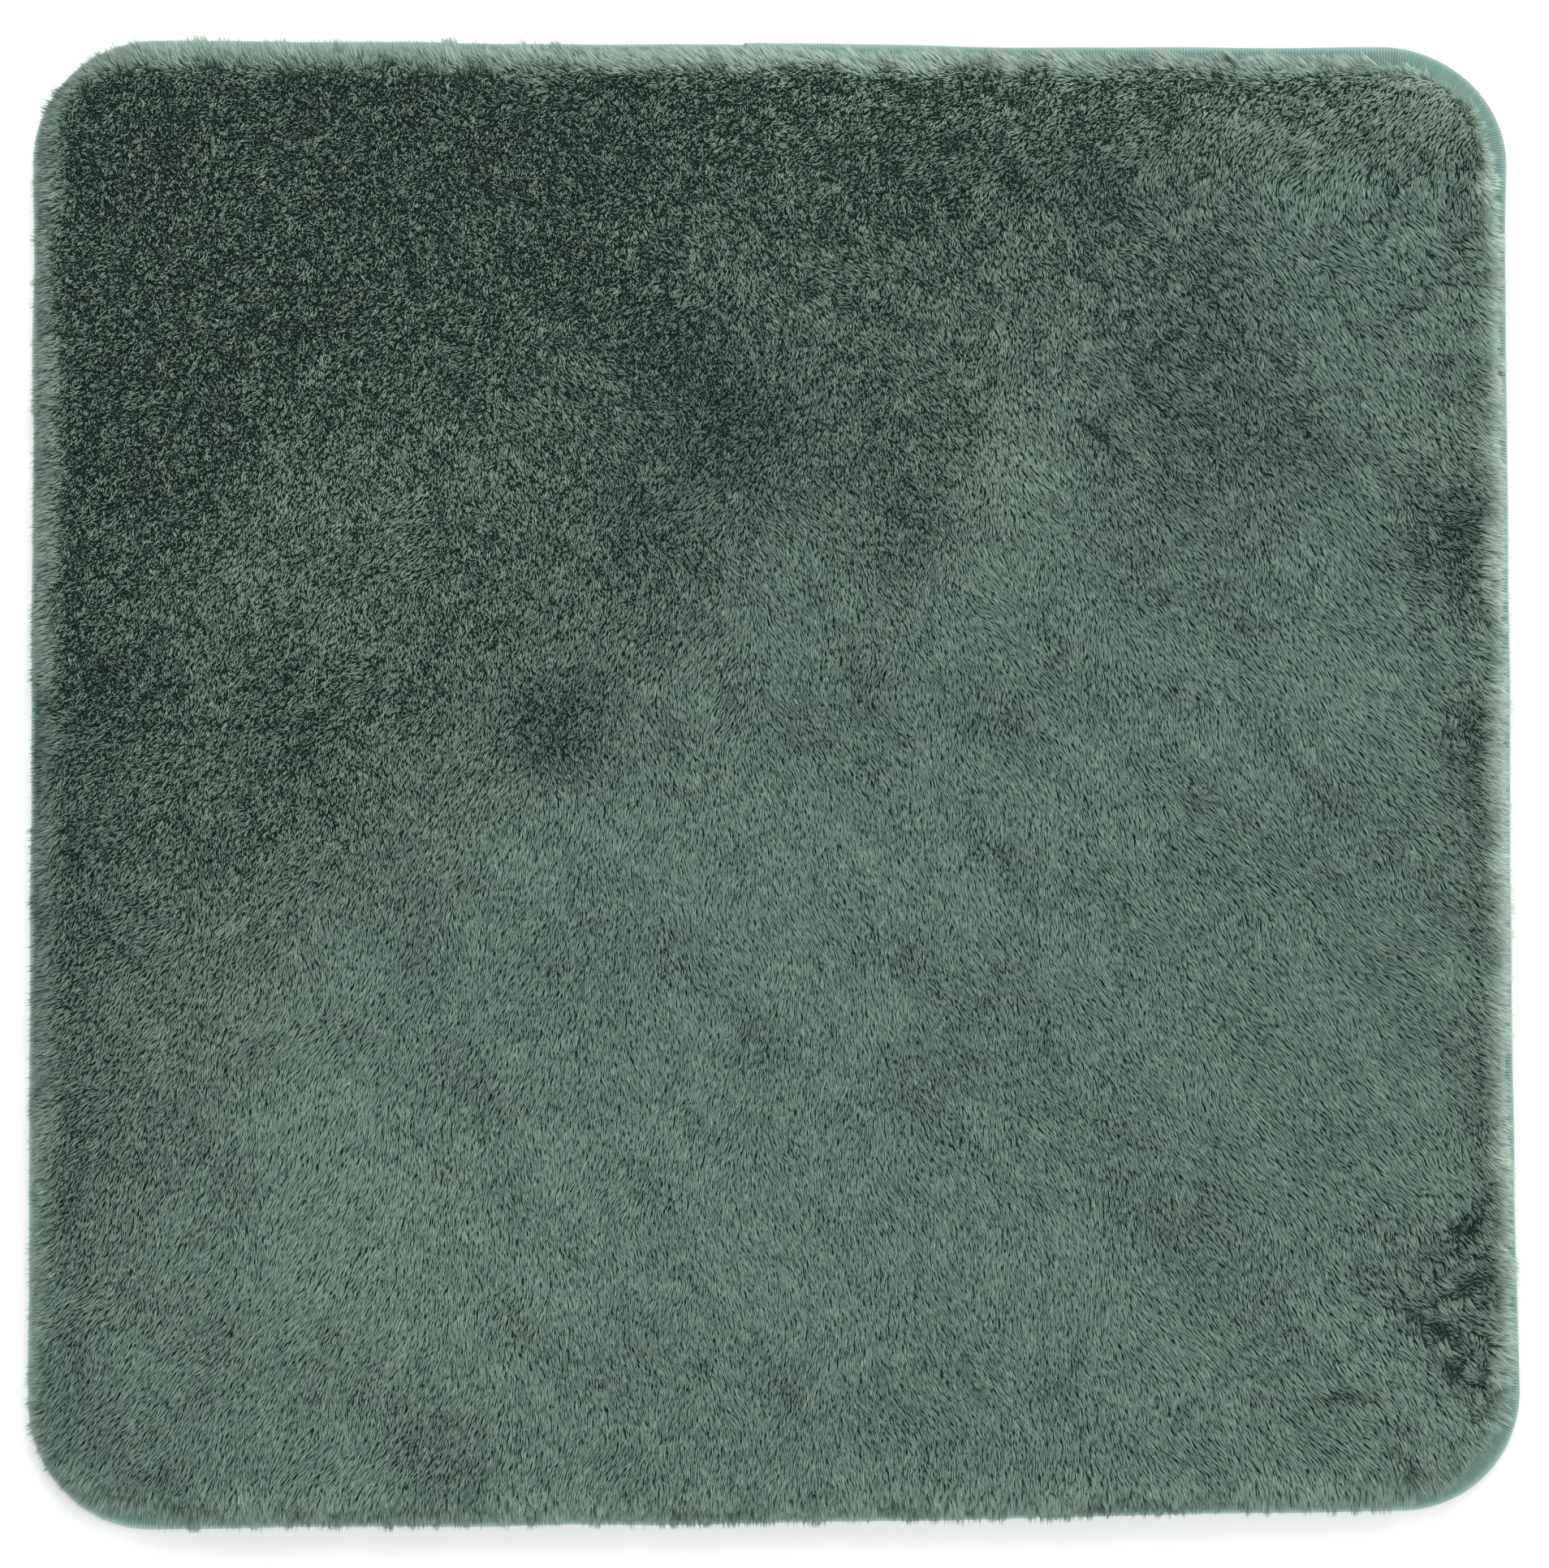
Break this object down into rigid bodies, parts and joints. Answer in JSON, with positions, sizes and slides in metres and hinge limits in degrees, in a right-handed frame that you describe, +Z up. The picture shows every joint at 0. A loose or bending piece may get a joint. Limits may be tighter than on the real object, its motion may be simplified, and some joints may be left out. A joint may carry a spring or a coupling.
{
  "type": "bath mat",
  "caption": "Square plush bath mat with rounded corners: long fur pile on a knitted ground cloth, foam core, non-slip backing with rubber grip dots, and a folded ribbed tape sewn round the edge.",
  "frame": {"origin": "on the floor under the middle of the mat", "axes": "+Z up out of the pile; +Y towards the edge that carries the lap of the binding tape; X and Y along the straight edges"},
  "size_m": [0.6, 0.6007, 0.0297],
  "materials": {
    "fur_pile": "long soft plush pile, sage green with pale tips, combed unevenly",
    "ground_cloth": "knitted ground cloth, matt",
    "binding_tape": "ribbed woven tape, slight sheen",
    "sewing_thread": "twisted polyester thread, slight sheen",
    "foam_core": "open-cell foam, matt",
    "backing_cloth": "plain woven backing cloth, matt",
    "grip_rubber": "soft moulded rubber, satin"
  },
  "bodies": {
    "root": {"backing_cloth": "backing_cloth", "foam_core": "foam_core", "ground_cloth": "ground_cloth", "fur_pile": "fur_pile", "binding_tape": "binding_tape", "needle_thread": "sewing_thread", "bobbin_thread": "sewing_thread", "grip_dot_r1_c1": "grip_rubber", "grip_dot_r1_c2": "grip_rubber", "grip_dot_r1_c3": "grip_rubber", "grip_dot_r1_c4": "grip_rubber", "grip_dot_r1_c5": "grip_rubber", "grip_dot_r1_c6": "grip_rubber", "grip_dot_r1_c7": "grip_rubber", "grip_dot_r2_c1": "grip_rubber", "grip_dot_r2_c2": "grip_rubber", "grip_dot_r2_c3": "grip_rubber", "grip_dot_r2_c4": "grip_rubber", "grip_dot_r2_c5": "grip_rubber", "grip_dot_r2_c6": "grip_rubber", "grip_dot_r2_c7": "grip_rubber", "grip_dot_r3_c1": "grip_rubber", "grip_dot_r3_c2": "grip_rubber", "grip_dot_r3_c3": "grip_rubber", "grip_dot_r3_c4": "grip_rubber", "grip_dot_r3_c5": "grip_rubber", "grip_dot_r3_c6": "grip_rubber", "grip_dot_r3_c7": "grip_rubber", "grip_dot_r4_c1": "grip_rubber", "grip_dot_r4_c2": "grip_rubber", "grip_dot_r4_c3": "grip_rubber", "grip_dot_r4_c4": "grip_rubber", "grip_dot_r4_c5": "grip_rubber", "grip_dot_r4_c6": "grip_rubber", "grip_dot_r4_c7": "grip_rubber", "grip_dot_r5_c1": "grip_rubber", "grip_dot_r5_c2": "grip_rubber", "grip_dot_r5_c3": "grip_rubber", "grip_dot_r5_c4": "grip_rubber", "grip_dot_r5_c5": "grip_rubber", "grip_dot_r5_c6": "grip_rubber", "grip_dot_r5_c7": "grip_rubber", "grip_dot_r6_c1": "grip_rubber", "grip_dot_r6_c2": "grip_rubber", "grip_dot_r6_c3": "grip_rubber", "grip_dot_r6_c4": "grip_rubber", "grip_dot_r6_c5": "grip_rubber", "grip_dot_r6_c6": "grip_rubber", "grip_dot_r6_c7": "grip_rubber", "grip_dot_r7_c1": "grip_rubber", "grip_dot_r7_c2": "grip_rubber", "grip_dot_r7_c3": "grip_rubber", "grip_dot_r7_c4": "grip_rubber", "grip_dot_r7_c5": "grip_rubber", "grip_dot_r7_c6": "grip_rubber", "grip_dot_r7_c7": "grip_rubber"}
  },
  "joints": []
}
